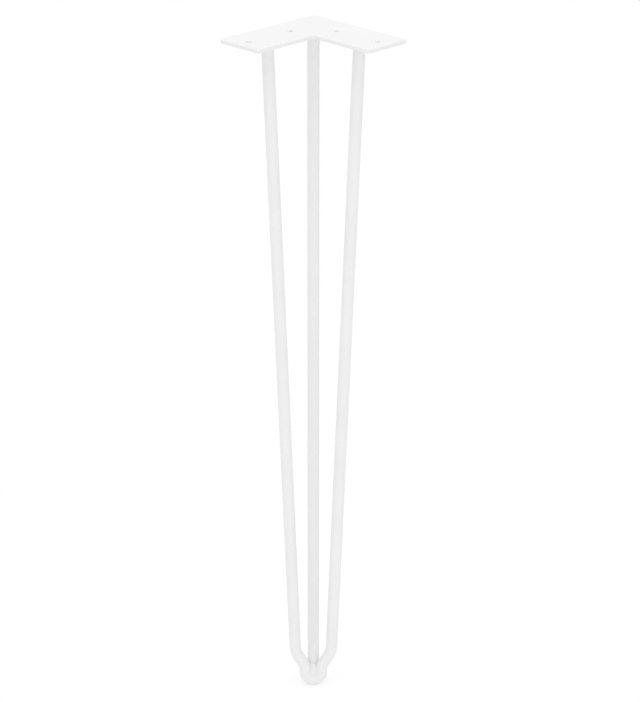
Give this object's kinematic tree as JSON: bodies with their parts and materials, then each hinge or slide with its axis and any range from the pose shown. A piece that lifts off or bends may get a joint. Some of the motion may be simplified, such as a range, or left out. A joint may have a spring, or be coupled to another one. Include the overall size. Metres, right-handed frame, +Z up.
{
  "type": "hairpin table leg",
  "caption": "White powder-coated steel hairpin table leg: a bent rod with a tight round foot, braced by a further rod behind it, welded under an L-shaped screw plate.",
  "frame": {"origin": "on the plate's top mounting face, where the centre lines of its two arms cross, right above the third rod", "axes": "+Z up out of the mounting face, towards the table top; +Y towards the plate's outer corner, which points to the table's corner; +X to the right as seen from the leg's open side"},
  "size_m": [0.1752, 0.1227, 0.71],
  "materials": {
    "powder_coat": "matt white powder coat"
  },
  "bodies": {
    "root": {"top_plate": "powder_coat", "hairpin_rod": "powder_coat", "third_rod": "powder_coat", "plate_weld_left": "powder_coat", "plate_weld_right": "powder_coat", "plate_weld_rear": "powder_coat", "foot_weld_left": "powder_coat", "foot_weld_right": "powder_coat", "foot_weld_front": "powder_coat"}
  },
  "joints": []
}
